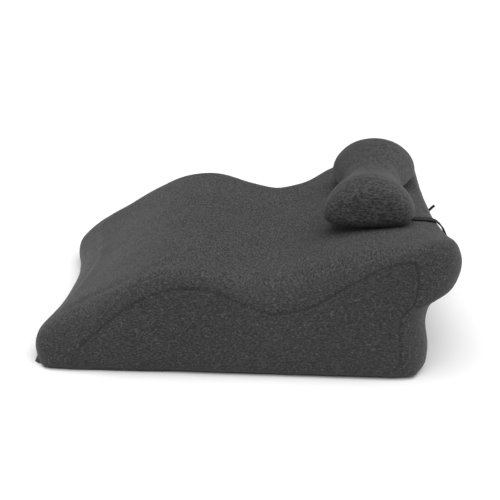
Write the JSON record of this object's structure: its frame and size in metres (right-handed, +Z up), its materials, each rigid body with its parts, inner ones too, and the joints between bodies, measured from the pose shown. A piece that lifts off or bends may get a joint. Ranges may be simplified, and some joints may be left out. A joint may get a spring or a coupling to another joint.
{
  "type": "leg elevation pillow",
  "caption": "Contoured foam pillow in a knit cover: a low hollowed front, a hump, a dip and a raised overhanging lip, with a small bone-shaped bolster strapped on the rise.",
  "frame": {"origin": "on the floor, under the middle of the object's box", "axes": "+X along the length, from the low hollowed front to the overhanging lip; +Y across the width; +Z up"},
  "size_m": [0.6146, 0.5026, 0.258],
  "materials": {
    "charcoal_knit": "matte heather knit",
    "black_webbing": "matte woven webbing"
  },
  "bodies": {
    "root": {"cushion_body": "charcoal_knit", "bolster_body": "charcoal_knit", "strap_band": "black_webbing", "strap_tail": "black_webbing"}
  },
  "joints": []
}
